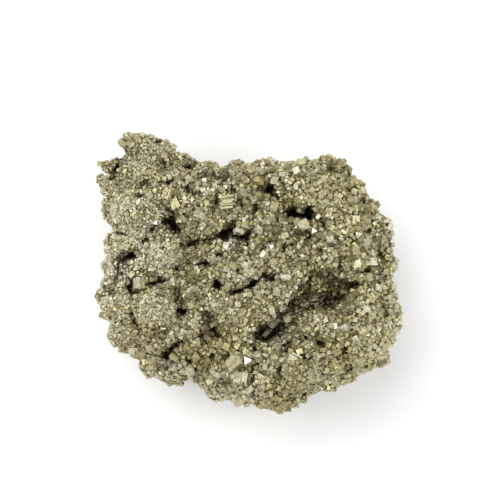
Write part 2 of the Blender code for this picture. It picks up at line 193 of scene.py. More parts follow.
# --- The largest crystals, in place of the ordinary ones ---
# (pixel x, pixel y, three edges, turn in the picture, tilt back, lean sideways, axis its growth layers are stacked
# on or None, tone from 0 dull to 1 pale, hue: 0 orange, 0.5 plain, 1 yellow)
LARGE = [
    (227, 204, (2.8, 2.6, 2.3), 12, 20, 4, 1, 0.45, 0.6), (234, 365, (3.4, 2.6, 2.6), 38, 30, 20, None, 0.35, 0.5),
    (241, 379, (2.9, 2.3, 2.3), -12, 25, -15, 0, 0.65, 0.5), (292, 361, (2.7, 2.5, 2.4), -20, 20, 20, 1, 0.60, 0.5),
    (139, 285, (2.1, 2.5, 2.1), 6, 25, 14, 0, 0.60, 0.6), (176, 205, (1.8, 2.6, 2.1), 25, 26, -8, 0, 0.40, 0.5),
    (302, 226, (2.2, 2.1, 2.0), 25, 9, 6, None, 0.50, 0.6), (371, 263, (3.0, 1.8, 1.9), -4, 20, -16, 1, 0.80, 0.6),
    (209, 325, (1.9, 1.8, 1.8), 30, 16, -6, None, 0.45, 0.5), (136, 347, (2.6, 2.2, 2.0), -2, 20, -10, 1, 0.70, 0.78),
    (322, 287, (1.8, 1.3, 1.5), -20, 16, -10, 1, 1.00, 1.0), (343, 331, (2.0, 1.9, 1.9), 25, 15, 15, None, 0.90, 0.5),
    (169, 195, (2.3, 2.1, 1.9), 68, 28, -4, 1, 0.35, 0.5), (258, 231, (1.8, 1.6, 1.7), -30, 25, 10, None, 0.75, 0.5),
    (239, 221, (1.6, 1.5, 1.6), 10, 20, -10, None, 0.95, 0.4), (277, 320, (1.1, 4.4, 1.2), -48, 10, 10, 0, 0.55, 0.5),
    (268, 331, (1.0, 3.5, 1.1), -42, 12, -10, 0, 0.50, 0.5), (311, 299, (2.1, 1.8, 1.9), 15, 30, 25, 1, 0.70, 0.5),
    (150, 345, (1.9, 1.6, 1.8), 20, 25, 15, None, 0.65, 0.5), (350, 300, (1.9, 1.7, 1.7), -20, 25, 15, 1, 0.70, 0.5),
    (289, 318, (2.0, 1.8, 1.9), 20, 15, -8, None, 0.50, 0.7), (198, 215, (2.0, 1.9, 1.9), -25, 25, 15, 1, 0.70, 0.5),
    (262, 205, (2.2, 1.9, 2.0), 25, 25, 20, 1, 0.45, 0.7), (237, 231, (1.3, 1.3, 1.3), 8, 10, 5, 1, 0.90, 0.4),
    (148, 361, (1.9, 1.3, 1.4), 25, 18, -10, None, 0.80, 1.0), (135, 349, (1.2, 1.1, 1.1), 10, 15, 10, None, 0.70, 1.0),
    (299, 352, (1.3, 1.1, 1.1), 15, 15, 10, None, 0.75, 1.0), (336, 365, (1.3, 1.2, 1.1), 30, 15, 10, None, 0.70, 1.0),
    (202, 361, (1.0, 0.9, 0.9), 20, 20, 10, None, 0.60, 0.0), (206, 364, (0.8, 0.7, 0.7), 40, 10, 20, None, 0.60, 0.0), (301, 212, (1.2, 0.8, 0.8), -8, 15, 5, 1, 0.95, 0.4),
    (358, 264, (1.9, 1.6, 1.8), 14, 12, -22, 0, 0.70, 0.5),
]
LAYER = 0.38                # thickness of a growth layer
LAYER_SHIFT = 0.055         # how far one layer stands out past the next, as a share of the edge
LAYER_TWIST = 2.5           # how far one layer leans from the next
LAYER_TONE = 0.08           # how much paler or duller one layer is than the next
LARGE_SIZE = 0.95           # of the edges above
CUT_CORNERS = 1.9           # a large crystal that is not layered, and over this edge, has its corners cut off
LARGE_OUT, LARGE_FOOT = 0.15, 0.7   # how far its centre stands out of the mass, and how far its foot lies under it, as
                            # shares of its shortest edge
CHANCE_TOP = 14.0           # the greatest height over the table of the large crystals at chance places
CHANCE_LARGE, CHANCE_GAP = 46, 6.0  # more large crystals on the sides and the underside: how many, and the gap between
CHANCE_EDGES = (1.4, 2.6)
# Facets turned to send the key light to the camera: (pixel x, pixel y, edge).
GLINTS = [
    (248, 361, 1.55), (164, 328, 0.9), (315, 231, 1.15), (139, 202, 0.9), (157, 224, 0.9), (272, 247, 0.8), (279, 304, 0.8), (367, 335, 0.9), (301, 213, 0.8),
    (290, 209, 0.8), (118, 222, 0.9), (286, 182, 0.8),
]

# --- Occlusion, for the painted shade in the pits, creases and hollows ---
OCCLUSION_RAYS = 18
OCCLUSION_REACH = 5.0

# --- The lights: (name, place in metres, side, watts) ---
SOFTBOXES = [
    ("key_softbox", (-0.45, 0.35, 0.60), 1.05, 9.0),
    ("fill_softbox", (0.60, -0.10, 0.50), 0.60, 3.0),
    ("front_softbox", (-0.05, -0.60, 0.45), 0.60, 2.2),
]


def link(obj):
    bpy.context.scene.collection.objects.link(obj)
    return obj


def camera_axes():
    """The camera's place in millimetres, and its right, up and backward directions."""
    tilt = math.radians(CAMERA_ELEVATION)
    back = Vector((0.0, -math.cos(tilt), math.sin(tilt)))
    right = Vector((1.0, 0.0, 0.0))
    return Vector(CAMERA_AIM) + back * CAMERA_DISTANCE, right, back.cross(right), back


def make_camera():
    place, right, up, back = camera_axes()
    data = bpy.data.cameras.new("camera")
    data.lens, data.sensor_width = LENS, SENSOR
    data.clip_start, data.clip_end = 0.01, 10.0
    camera = link(bpy.data.objects.new("camera", data))
    turn = Matrix((right, up, back)).transposed()
    camera.matrix_world = Matrix.Translation(place * MM) @ turn.to_4x4()
    bpy.context.scene.camera = camera


def seen_at(tree, px, py):
    """The place on the stone that the photograph shows at this pixel, and the normal there, if it shows the stone."""
    place, right, up, back = camera_axes()
    half = SENSOR / 2 / LENS
    across = (px / IMAGE_SIDE * 2 - 1) * half
    above = (1 - py / IMAGE_SIDE * 2) * half
    hit, normal, _, _ = tree.ray_cast(place, right * across + up * above - back)
    return (hit, normal) if hit else (None, None)


def on_stone(tree, px, py):
    """The same, or the nearest such place on the way to the picture's middle."""
    middle = IMAGE_SIDE / 2
    return next(seen for seen in (
        seen_at(tree, middle + (px - middle) * share, middle + (py - middle) * share)
        for share in np.linspace(1.0, 0.5, 51)
    ) if seen[0] is not None)


def pixels_of(points):
    """The pixels that these places in millimetres show at, as two arrays."""
    place, right, up, back = (np.array(v) for v in camera_axes())
    away = points - place
    scale = IMAGE_SIDE / 2 / (SENSOR / 2 / LENS) / -(away @ back)
    return IMAGE_SIDE / 2 + (away @ right) * scale, IMAGE_SIDE / 2 - (away @ up) * scale


def upper_share(points):
    """1 on the upper face, to 0 on the sides."""
    return np.clip((points[:, 2] - PITS_FROM) / 3.0, 0, 1)


def pits_at(points):
    """How deep the pits go at each of these points, straight away from the camera, how far into a pit the point
    is, and how much painted shade it gets there."""
    px, py = pixels_of(points)
    depths, within, dark = (np.zeros(len(points)) for _ in range(3))
    for index, (x, y, length, width, turn, depth) in enumerate(PITS):
        length, width = length + PIT_ROOM, width + PIT_ROOM
        near = np.flatnonzero(np.hypot(px - x, py - y) < 2.0 * max(length, width))
        along, cos, sin = px[near] - x, math.cos(math.radians(turn)), math.sin(math.radians(turn))
        above = y - py[near]
        share = np.hypot((along * cos + above * sin) / length, (above * cos - along * sin) / width)
        stray = [noise.noise(Vector((px[i] / PIT_WAVES, py[i] / PIT_WAVES, 3.1 * index))) for i in near]
        share *= 1 + PIT_RAGGED * np.array(stray)
        sunk, shade = (np.clip((start - share) / (start - full), 0, 1) for start, full in (PIT_WALL, PIT_SHADE))
        depths[near] = np.maximum(depths[near], depth * sunk * sunk * (3 - 2 * sunk))
        within[near] = np.maximum(within[near], sunk)
        dark[near] = np.maximum(dark[near], shade * min(1.0, depth / DARK_DEPTH))
    upper = upper_share(points)
    return depths * upper, within * upper, dark * upper


class Envelope:
    """The height of the upper face towards the camera with its hollows bridged."""

    def __init__(self, tree):
        back = np.array(camera_axes()[3])
        side = IMAGE_SIDE // ENVELOPE_STEP
        heights = np.full((side, side), -np.inf)
        for row in range(side):
            for column in range(side):
                hit, _ = seen_at(tree, column * ENVELOPE_STEP, row * ENVELOPE_STEP)
                if hit is not None:
                    heights[row, column] = np.array(hit) @ back
        reach = range(-ENVELOPE_REACH, ENVELOPE_REACH + 1)
        near = [(i, j) for i in reach for j in reach if i * i + j * j <= ENVELOPE_REACH ** 2]
        highest = np.max([np.roll(heights, step, (0, 1)) for step in near], 0)
        stone = np.isfinite(heights)
        highest[~stone] = 0.0
        total = sum(np.roll(highest, step, (0, 1)) for step in near)
        self.heights = total / np.maximum(1, sum(np.roll(stone, step, (0, 1)).astype(int) for step in near))
        inner = np.min([np.roll(stone, step, (0, 1)) for step in near], 0)
        self.inner = sum(np.roll(inner, step, (0, 1)).astype(float) for step in near) / len(near)
        self.back = back

    def below(self, points):
        """How far these points lie under it, dying away to nothing near the outline, and that share."""
        columns, rows = (np.clip(p / ENVELOPE_STEP, 0, len(self.heights) - 2) for p in pixels_of(points))
        left, top = columns.astype(int), rows.astype(int)
        x, y = columns - left, rows - top

        def read(grid):
            return ((1 - x) * (1 - y) * grid[top, left] + x * (1 - y) * grid[top, left + 1]
                    + (1 - x) * y * grid[top + 1, left] + x * y * grid[top + 1, left + 1])

        inner = read(self.inner)
        return np.maximum(read(self.heights) - points @ self.back, 0) * inner, inner


class SidePits:
    """Pits at chance places of the sides and the underside, each sunk straight in."""

    def __init__(self, mesh, tree):
        chance = np.random.default_rng(SEED + 2)
        self.pits = []
        for index in chance.permutation(len(mesh.vertices)).tolist():
            place, normal = mesh.vertices[index].co, mesh.vertices[index].normal
            if not SIDE_BOTTOM < place.z < SIDE_TOP or normal.z > 0.5 or normal.z < -0.9:
                continue
            if any((place - other[0]).length < SIDE_PIT_GAP for other in self.pits):
                continue
            if tree.ray_cast(place - normal * 0.05, -normal, 9.0)[0] is not None:
                continue
            share = chance.random() ** 1.5
            radius, depth = (low + (high - low) * share for low, high in (SIDE_PIT_RADII, SIDE_PIT_DEPTHS))
            self.pits.append((place.copy(), normal.copy(), radius, depth))
            if len(self.pits) == SIDE_PITS:
                break

    def at(self, points):
        """How far each point is to be moved by the pits, how far into a pit it is, and how much painted shade it gets
        there.
        """
        moves, within, dark = np.zeros(points.shape), np.zeros(len(points)), np.zeros(len(points))
        for index, (place, normal, radius, depth) in enumerate(self.pits):
            away = np.linalg.norm(points - np.array(place), axis=1)
            near = np.flatnonzero(away < 2.0 * radius + 1)
            stray = np.array([noise.noise(Vector(points[i]) / 1.4 + Vector((index * 3.7, 0, 0))) for i in near])
            share = away[near] / radius * (1 + PIT_RAGGED * stray)
            sunk, shade = (np.clip((start - share) / (start - full), 0, 1) for start, full in (PIT_WALL, PIT_SHADE))
            moves[near] -= np.array(normal) * (depth * sunk * sunk * (3 - 2 * sunk))[:, None]
            within[near] = np.maximum(within[near], sunk)
            dark[near] = np.maximum(dark[near], shade * min(1.0, depth / DARK_DEPTH))
        return moves, within, dark


def crease(point, spacing):
    """0 on the crown of a bunch and up to 1 in the creases between bunches."""
    nearest = noise.voronoi(point / spacing, distance_metric="DISTANCE")[0][0]
    return min(1.0, (nearest / CREASE_REACH) ** CREASE_POWER)


def remeshed_copy():
    """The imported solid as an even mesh, in millimetres."""
    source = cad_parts[NODE]
    mesh = source.data.copy()
    mesh.transform(Matrix.Scale(1 / MM, 4))
    work = link(bpy.data.objects.new("work", mesh))
    skin = work.modifiers.new("skin", "REMESH")
    skin.mode = "VOXEL"
    skin.voxel_size = MASS_STEP
    graph = bpy.context.evaluated_depsgraph_get()
    even = bpy.data.meshes.new_from_object(work.evaluated_get(graph))
    bpy.data.objects.remove(work)
    return even


def tree_of(mesh):
    return BVHTree.FromPolygons([v.co for v in mesh.vertices], [p.vertices for p in mesh.polygons])


def flatten(mesh):
    """Draws each bump of the list in, by moving its points towards the middle of their neighbours again and again."""
    points = np.array([v.co for v in mesh.vertices])
    ends = np.array([e.vertices for e in mesh.edges])
    for *place, radius in FLATTENED:
        share = np.clip((1 - np.linalg.norm(points - place, axis=1) / radius) * 3, 0, 0.8)[:, None]
        near = ends[(share[ends] > 0).any(1).ravel()]
        for _ in range(FLATTEN_STEPS):
            total, count = np.zeros(points.shape), np.zeros(share.shape)
            for one, other in (near.T, near.T[::-1]):
                np.add.at(total, one, points[other])
                np.add.at(count, one, 1)
            points += (total / np.maximum(count, 1) - points) * share
    mesh.vertices.foreach_set("co", points.ravel())
    mesh.update()


def edge_places(mesh):
    """The mesh's outermost points as the camera sees it, one for each of the edge's swells."""
    points = np.array([v.co for v in mesh.vertices])
    px, py = pixels_of(points)
    across, above = px - EDGE_MIDDLE[0], EDGE_MIDDLE[1] - py
    step = 360 / len(EDGE_SWELLS)
    sector = np.round(np.degrees(np.arctan2(above, across)) / step) % len(EDGE_SWELLS)
    away = np.hypot(across, above)
    return [Vector(points[np.argmax(np.where(sector == i, away, 0))]) for i in range(len(EDGE_SWELLS))]


def mass_mesh():
    """The mass under the crystals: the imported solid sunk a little, with lumps, and creased into bunches."""
    mesh = remeshed_copy()
    flatten(mesh)
    tree = tree_of(mesh)
    envelope = Envelope(tree)
    lumps = [(on_stone(tree, px, py)[0], radius, height, RING_DEPTH * share ** 2)
             for px, py, radius, height, share in LUMPS]
    lumps += [(place, SWELL_RADIUS, height, 0.0) for place, height in zip(edge_places(mesh), EDGE_SWELLS) if height]
    normals = [v.normal.copy() for v in mesh.vertices]
    for vertex, normal in zip(mesh.vertices, normals):
        point = vertex.co.copy()
        if point.z < FOOT_BAND:
            continue
        through = tree.ray_cast(point - normal * 0.05, -normal, 8.0)[3] or 8.0
        sunk = MASS_SUNK + sum(depth * crease(point, spacing) for spacing, depth in BUNCHES)
        for centre, radius, height, ring in lumps:
            away = (point - centre).length / radius
            if away < LUMP_REACH:
                sunk -= height * math.exp(-2.0 * away ** 3)
                sunk += ring * math.exp(-(((away - LUMP_RING) / LUMP_RING_WIDE) ** 2))
        sunk = min(sunk, through * np.interp(through, *zip(*MOST_SUNK)))
        vertex.co -= normal * sunk
        vertex.co.z = max(vertex.co.z, 0.0)
    points = np.array([v.co for v in mesh.vertices])
    depths, within, _ = pits_at(points)
    below, inner = envelope.below(points)
    hollow = np.maximum(below - FILL_FROM, 0) * FILL_SHARE * inner
    hollow *= upper_share(points)
    down = np.where(depths > 0, np.maximum(depths - below, 0), 0) * within - hollow * (1 - within)
    facing = np.array([n.dot(Vector(envelope.back)) for n in normals])
    down *= np.clip((facing + 0.3) / 0.4, 0, 1)
    side_pits = SidePits(mesh, tree)
    points += side_pits.at(points)[0] - envelope.back * down[:, None]
    mesh.vertices.foreach_set("co", points.ravel())
    mesh.update()
    return mesh, side_pits


def openness(mesh, tree):
    """For each point of the mesh, the share of rays from it that get away, from 0 in a deep pit to 1 on a crown."""
    spins = [(i * 2.399963, math.sqrt((i + 0.5) / OCCLUSION_RAYS)) for i in range(OCCLUSION_RAYS)]
    local = [Vector((r * math.cos(a), r * math.sin(a), math.sqrt(1 - r * r))) for a, r in spins]
    shares = np.empty(len(mesh.vertices))
    for i, vertex in enumerate(mesh.vertices):
        normal = vertex.normal
        turn = Vector((0, 0, 1)).rotation_difference(normal).to_matrix()
        start = vertex.co + normal * 0.15
        free = sum(tree.ray_cast(start, turn @ ray, OCCLUSION_REACH)[0] is None for ray in local)
        shares[i] = free / OCCLUSION_RAYS
    return shares


class Surface:
    """Points and triangles of the mass as arrays, for scattering crystals over it."""

    def __init__(self, mesh, open_share):
        mesh.calc_loop_triangles()
        self.points = np.empty(len(mesh.vertices) * 3)
        mesh.vertices.foreach_get("co", self.points)
        self.points = self.points.reshape(-1, 3)
        self.normals = np.empty(len(mesh.vertices) * 3)
        mesh.vertices.foreach_get("normal", self.normals)
        self.normals = self.normals.reshape(-1, 3)
        triangles = np.empty(len(mesh.loop_triangles) * 3, np.int32)
        mesh.loop_triangles.foreach_get("vertices", triangles)
        self.triangles = triangles.reshape(-1, 3)
        self.open_share = open_share

    def scatter(self, count, chance):
        """Random places over the surface: points, normals and how open each is."""
        a, b, c = (self.points[self.triangles[:, i]] for i in range(3))
        areas = np.linalg.norm(np.cross(b - a, c - a), axis=1)
        picked = chance.choice(len(areas), size=count, p=areas / areas.sum())
        u, v = chance.random(count), chance.random(count)
        over = u + v > 1
        u[over], v[over] = 1 - u[over], 1 - v[over]
        shares = np.stack([1 - u - v, u, v], 1)
        corners = self.triangles[picked]
        points = (self.points[corners] * shares[:, :, None]).sum(1)
        normals = (self.normals[corners] * shares[:, :, None]).sum(1)
        normals /= np.linalg.norm(normals, axis=1, keepdims=True)
        return points, normals, (self.open_share[corners] * shares).sum(1)


def thinned(points, edges):
    """Which of these places to keep, in order, so that no two crystals are closer than their edges allow."""
    cell = 1.7
    grid = {}
    kept = []
    reach = range(-1, 2)
    steps = [(i, j, k) for i in reach for j in reach for k in reach]
    for index, (point, edge) in enumerate(zip(points.tolist(), edges.tolist())):
        x, y, z = point
        home = (int(x // cell), int(y // cell), int(z // cell))
        clear = True
        for i, j, k in steps:
            for ox, oy, oz, other in grid.get((home[0] + i, home[1] + j, home[2] + k), ()):
                least = CLOSEST * (edge + other) / 2
                if (x - ox) ** 2 + (y - oy) ** 2 + (z - oz) ** 2 < least * least:
                    clear = False
                    break
            if not clear:
                break
        if clear:
            grid.setdefault(home, []).append((x, y, z, edge))
            kept.append(index)
    return np.array(kept)


def regular_form(name):
    """Corners and faces of a crystal form with edges of about 1, round its centre."""
    if name == "cube":
        corners = [(x, y, z) for x in (-0.5, 0.5) for y in (-0.5, 0.5) for z in (-0.5, 0.5)]
    elif name == "cut_cube":
        cut = 0.27
        corners = []
        for x in (-0.5, 0.5):
            for y in (-0.5, 0.5):
                for z in (-0.5, 0.5):
                    corners += [(x - math.copysign(cut, x), y, z), (x, y - math.copysign(cut, y), z),
                                (x, y, z - math.copysign(cut, z))]
    elif name == "octahedron":
        corners = [(0.8, 0, 0), (-0.8, 0, 0), (0, 0.8, 0), (0, -0.8, 0), (0, 0, 0.8), (0, 0, -0.8)]
    else:
        # A pyritohedron's faces lean over from a cube's by this much.
        lean = 0.42
        side = 0.5
        corners = [(x, y, z) for x in (-side, side) for y in (-side, side) for z in (-side, side)]
        ridge, span = side * (1 + lean), side * (1 - lean * lean)
        for a in (-ridge, ridge):
            for b in (-span, span):
                corners += [(0, b, a), (a, 0, b), (b, a, 0)]
        corners = [tuple(c * 0.86 for c in corner) for corner in corners]
    return corners, hull_faces(corners)


def hull_faces(corners):
    """The flat faces of the convex hull of these corners, each a loop seen from outside."""
    points = np.array(corners, float)
    faces = {}
    count = len(points)
    for i in range(count):
        for j in range(i + 1, count):
            for k in range(j + 1, count):
                normal = np.cross(points[j] - points[i], points[k] - points[i])
                size = np.linalg.norm(normal)
                if size < 1e-9:
                    continue
                normal /= size
                heights = points @ normal
                level = heights[i]
                if heights.max() < level + 1e-6:
                    pass
                elif heights.min() > level - 1e-6:
                    normal, heights, level = -normal, -heights, -level
                else:
                    continue
                on = np.flatnonzero(heights > level - 1e-6)
                faces.setdefault(tuple(on), normal)
    loops = []
    for on, normal in faces.items():
        middle = points[list(on)].mean(0)
        first = points[on[0]] - middle
        first /= np.linalg.norm(first)
        second = np.cross(normal, first)
        turned = sorted(on, key=lambda i: math.atan2((points[i] - middle) @ second, (points[i] - middle) @ first))
        loops.append(turned)
    return loops


def rotations(angles):
    """Rotation matrices from arrays of three angles about x, y and z, in radians."""
    (cx, cy, cz), (sx, sy, sz) = np.cos(angles).T, np.sin(angles).T
    return np.stack([
        np.stack([cy * cz, sx * sy * cz - cx * sz, cx * sy * cz + sx * sz], 1),
        np.stack([cy * sz, sx * sy * sz + cx * cz, cx * sy * sz - sx * cz], 1),
        np.stack([-sy, sx * cy, cx * cy], 1),
    ], 1)


def bunch_angles(points):
    """Three angles for each point, alike for points of one bunch."""
    angles = np.empty((len(points), 3))
    for i, point in enumerate(points):
        seed = noise.voronoi(Vector(point) / BUNCH_SPACING, distance_metric="DISTANCE")[1][0]
        angles[i] = seed
    spread = np.sin(angles @ np.array([[12.9898, 39.3461, 73.1560], [78.233, 11.135, 52.235], [37.719, 83.155, 9.151]]))
    return (spread * 43758.5453 % 1.0) * 2 * math.pi


# A crystal's three axes as they lie on its map, none of them along another.
MAP_AXES = np.array([(0.45, 0.22), (-0.40, 0.25), (0.10, 0.48)])


class Builder:
    """Gathers many convex crystals into one mesh."""

    def __init__(self):
        self.points, self.loops, self.totals = [], [], []
        self.values = {"tone": [], "open": [], "gloss": [], "hue": [], "brown": []}
        self.stria, self.shadows, self.count = [], [], 0

    def add(self, form, centres, turns, edges, values, feet, normals):
        """One crystal of this form for each row of the arrays, growing from these feet on the mass."""
        corners, faces = form
        unit = np.array(corners)
        number, size = len(centres), len(unit)
        local = unit[None] * edges[:, None, :]
        points = np.einsum("nij,nkj->nki", turns, local) + centres[:, None]
        heights = np.einsum("nkj,nj->nk", points - feet[:, None], normals)
        # Painted shade on the low corners: a corner near the mass counts as less open, so its colour darkens towards
        # the shade brown.
        low = LOW + (1 - LOW) * np.clip((heights - LOW_FROM) / (LOW_TO - LOW_FROM), 0, 1)
        self.points.append(points.reshape(-1, 3))
        loops = np.concatenate([np.array(f) for f in faces])
        starts = self.count + np.arange(number) * size
        self.loops.append((loops[None] + starts[:, None]).ravel())
        self.totals.append(np.tile([len(f) for f in faces], number))
        for key, column in values.items():
            self.values[key].append(np.repeat(column, size) * (low.ravel() if key == "open" else 1))
        across = np.concatenate([np.full(len(f), stria_axis(unit, f)) for f in faces])
        self.stria.append(local[:, loops, across].ravel())
        shadow = unit @ MAP_AXES
        shadow *= 0.46 / np.abs(shadow).max()
        self.shadows.append((shadow[loops], number))
        self.count += number * size

    def map_corners(self):
        """A place on the map for every corner: each crystal has a square of its own, seen skew in it."""
        total = sum(number for _, number in self.shadows)
        columns = math.ceil(math.sqrt(total))
        rows = math.ceil(total / columns)
        corners, first = [], 0
        for shadow, number in self.shadows:
            index = first + np.arange(number)
            squares = np.stack([index % columns + 0.5, index // columns + 0.5], 1)
            corners.append(((squares[:, None] + shadow[None]) / (columns, rows)).reshape(-1, 2))
            first += number
        return np.concatenate(corners)

    def object(self, name, material):
        mesh = bpy.data.meshes.new(name)
        points, loops, totals = (np.concatenate(x) for x in (self.points, self.loops, self.totals))
        mesh.vertices.add(len(points))
        mesh.vertices.foreach_set("co", (points * MM).astype(np.float32).ravel())
        mesh.loops.add(len(loops))
        mesh.loops.foreach_set("vertex_index", loops.astype(np.int32))
        mesh.polygons.add(len(totals))
        mesh.polygons.foreach_set("loop_start", (np.cumsum(totals) - totals).astype(np.int32))
        mesh.polygons.foreach_set("loop_total", totals.astype(np.int32))
        for key, columns in self.values.items():
            layer = mesh.attributes.new(key, "FLOAT", "POINT")
            layer.data.foreach_set("value", np.concatenate(columns).astype(np.float32))
        layer = mesh.attributes.new("stria", "FLOAT", "CORNER")
        layer.data.foreach_set("value", np.concatenate(self.stria).astype(np.float32))
        layer = mesh.uv_layers.new(name="OFBake")
        layer.data.foreach_set("uv", self.map_corners().astype(np.float32).ravel())
        mesh.update(calc_edges=True)
        mesh.validate()
        mesh.shade_flat()
        mesh.materials.append(material)
        return link(bpy.data.objects.new(name, mesh))


def stria_axis(unit, face):
    """The axis that the fine growth lines of this face step along."""
    a, b, c = (unit[i] for i in face[:3])
    normal = np.abs(np.cross(b - a, c - a))
    return (int(np.argmax(normal)) + 2) % 3


def region_of(points, normals):
    """Which piece each crystal belongs to, by where it grows."""
    names = np.full(len(points), "crystals_underside", object)
    bearing = np.degrees(np.arctan2(points[:, 1], points[:, 0])) % 360
    side = normals[:, 2] > -0.45
    for name, low in (("right", -45), ("back", 45), ("left", 135), ("front", 225)):
        names[side & ((bearing - low) % 360 < 90)] = f"crystals_{name}_side"
    top = (normals[:, 2] > 0.35) & (points[:, 2] > 16)
    names[top & (points[:, 0] < -10)] = "crystals_upper_left"
    names[top & (np.abs(points[:, 0]) <= 10)] = "crystals_upper_middle"
    names[top & (points[:, 0] > 10)] = "crystals_upper_right"
    return names


def lumps_at(points):
    """How sugary the crystals are at each of these points, and how near it is to the crease round a lump."""
    px, py = pixels_of(points)
    sugary, ring = np.zeros(len(points)), np.zeros(len(points))
    for x, y, radius, _, share in LUMPS:
        away = np.hypot(px - x, py - y) / (radius * PIXELS_PER_MM)
        sugary = np.maximum(sugary, share * np.exp(-away ** 4))
        here = share ** 2 * np.exp(-(((away - LUMP_RING) / LUMP_RING_WIDE) ** 2)) * (away < LUMP_REACH)
        ring = np.maximum(ring, here)
    upper = upper_share(points)
    patches = np.array([noise.noise(Vector(p) / SIDE_PATCHES) for p in points])
    return np.maximum(sugary * upper, np.clip(patches * 3 - 0.3, 0, 1) * (1 - upper)), ring * upper


def opened_at(surface, place):
    """How open the mass is at its point nearest to this place."""
    return surface.open_share[np.argmin(((surface.points - np.array(place)) ** 2).sum(1))]


def view_turn(turn, tilt, lean):
    """A crystal's rotation from the camera's axes."""
    _, right, up, back = camera_axes()
    axes = Matrix((right, up, back)).transposed()
    return axes @ Matrix.Rotation(math.radians(turn), 3, "Z") @ Matrix.Rotation(
        math.radians(-tilt), 3, "X") @ Matrix.Rotation(math.radians(lean), 3, "Y")


def chance_rows(surface):
    """Large crystals at chance places of the sides and the underside, as large_crystals takes them."""
    chance = np.random.default_rng(SEED + 3)
    rows = []
    for index in chance.permutation(len(surface.points)).tolist():
        place, normal = surface.points[index], surface.normals[index]
        if not SIDE_BOTTOM < place[2] < CHANCE_TOP or normal[2] > 0.5 or surface.open_share[index] < 0.7:
            continue
        if any(np.linalg.norm(place - other[0]) < CHANCE_GAP for other in rows):
            continue
        edges = chance.uniform(*CHANCE_EDGES) * chance.uniform(0.75, 1.15, 3)
        axis = int(chance.integers(3)) if chance.random() < 0.55 else None
        turned = rotations(chance.uniform(0, 6.3, (1, 3)))[0]
        rows.append((Vector(place), Vector(normal), edges, turned, axis, chance.uniform(0.4, 0.95), 0.5))
        if len(rows) == CHANCE_LARGE:
            break
    return rows


def large_crystals(surface, tree, material):
    """The crystals at set places. Returns their piece, and the place and reach of each."""
    chance = np.random.default_rng(SEED + 1)
    builder, taken = Builder(), []

    def values(tone, opened, gloss, hue, count):
        return {"tone": np.clip(tone + chance.normal(0, LAYER_TONE, count), 0, 1), "open": np.full(count, opened), "gloss": np.full(count, gloss),
                "hue": np.full(count, hue), "brown": np.zeros(count)}

    rows = []
    for px, py, edges, turn, tilt, lean, axis, tone, hue in LARGE:
        point, normal = on_stone(tree, px, py)
        rows.append((point, normal, np.array(edges) * LARGE_SIZE, np.array(view_turn(turn, tilt, lean)), axis, tone, hue))
    rows += chance_rows(surface)
    for point, normal, edges, turned, axis, tone, hue in rows:
        centre = np.array(point + normal * LARGE_OUT * min(edges))
        count = 1 if axis is None else max(2, round(edges[axis] / LAYER))
        centres = np.tile(centre, (count, 1))
        sizes = np.tile(edges, (count, 1))
        if axis is not None:
            steps = (np.arange(count) - (count - 1) / 2) * edges[axis] / count
            shifts = chance.normal(0, LAYER_SHIFT, (count, 3)) * edges
            shifts[:, axis] = steps
            centres = centres + shifts @ turned.T
            sizes *= 1 + chance.normal(0, LAYER_SHIFT, (count, 3))
            sizes[:, axis] = edges[axis] / count + 0.02
        # Painted shade for a large crystal in a dark pit, and where the mass is little open.
        dark = pits_at(np.array(point)[None])[2][0]
        opened = max(opened_at(surface, point), 0.45) * (1 - LARGE_SHADE * dark)
        form = regular_form("cut_cube" if axis is None and min(edges) > CUT_CORNERS else "cube")
        turns = turned @ rotations(np.radians(chance.normal(0, LAYER_TWIST, (count, 3))))
        builder.add(form, centres, turns, sizes, values(tone, opened, 0.5, hue, count),
                    np.tile(point - normal * LARGE_FOOT * min(edges), (count, 1)), np.tile(normal, (count, 1)))
        taken.append((centre, 0.40 * edges.mean() + 0.2))

    to_camera = camera_axes()[3]
    to_key = Vector(SOFTBOXES[0][1]).normalized()
    facing = (to_camera + to_key).to_track_quat("Z", "Y").to_matrix()
    corner_up = Vector((1, 1, 1)).rotation_difference(Vector((0, 0, 1))).to_matrix()
    for px, py, edge in GLINTS:
        point, normal = on_stone(tree, px, py)
        turned = np.array(facing @ Matrix.Rotation(chance.uniform(0, 6.3), 3, "Z") @ corner_up)[None]
        centre = np.array(point + normal * 0.3 * edge)
        builder.add(regular_form("octahedron"), centre[None], turned, np.full((1, 3), edge),
                    values(1.0, 1.0, 1.0, 0.5, 1), np.array(point)[None], np.array(normal)[None])
        taken.append((centre, 0.5 * edge))
    return builder.object("crystals_largest", material), taken


def areas_at(points, areas):
    """What these areas of the upper face come to at each of these points."""
    px, py = pixels_of(points)
    total = sum(share * np.exp(-1.2 * (np.hypot(px - x, py - y) / radius) ** 2) for x, y, radius, share in areas)
    return total * upper_share(points)


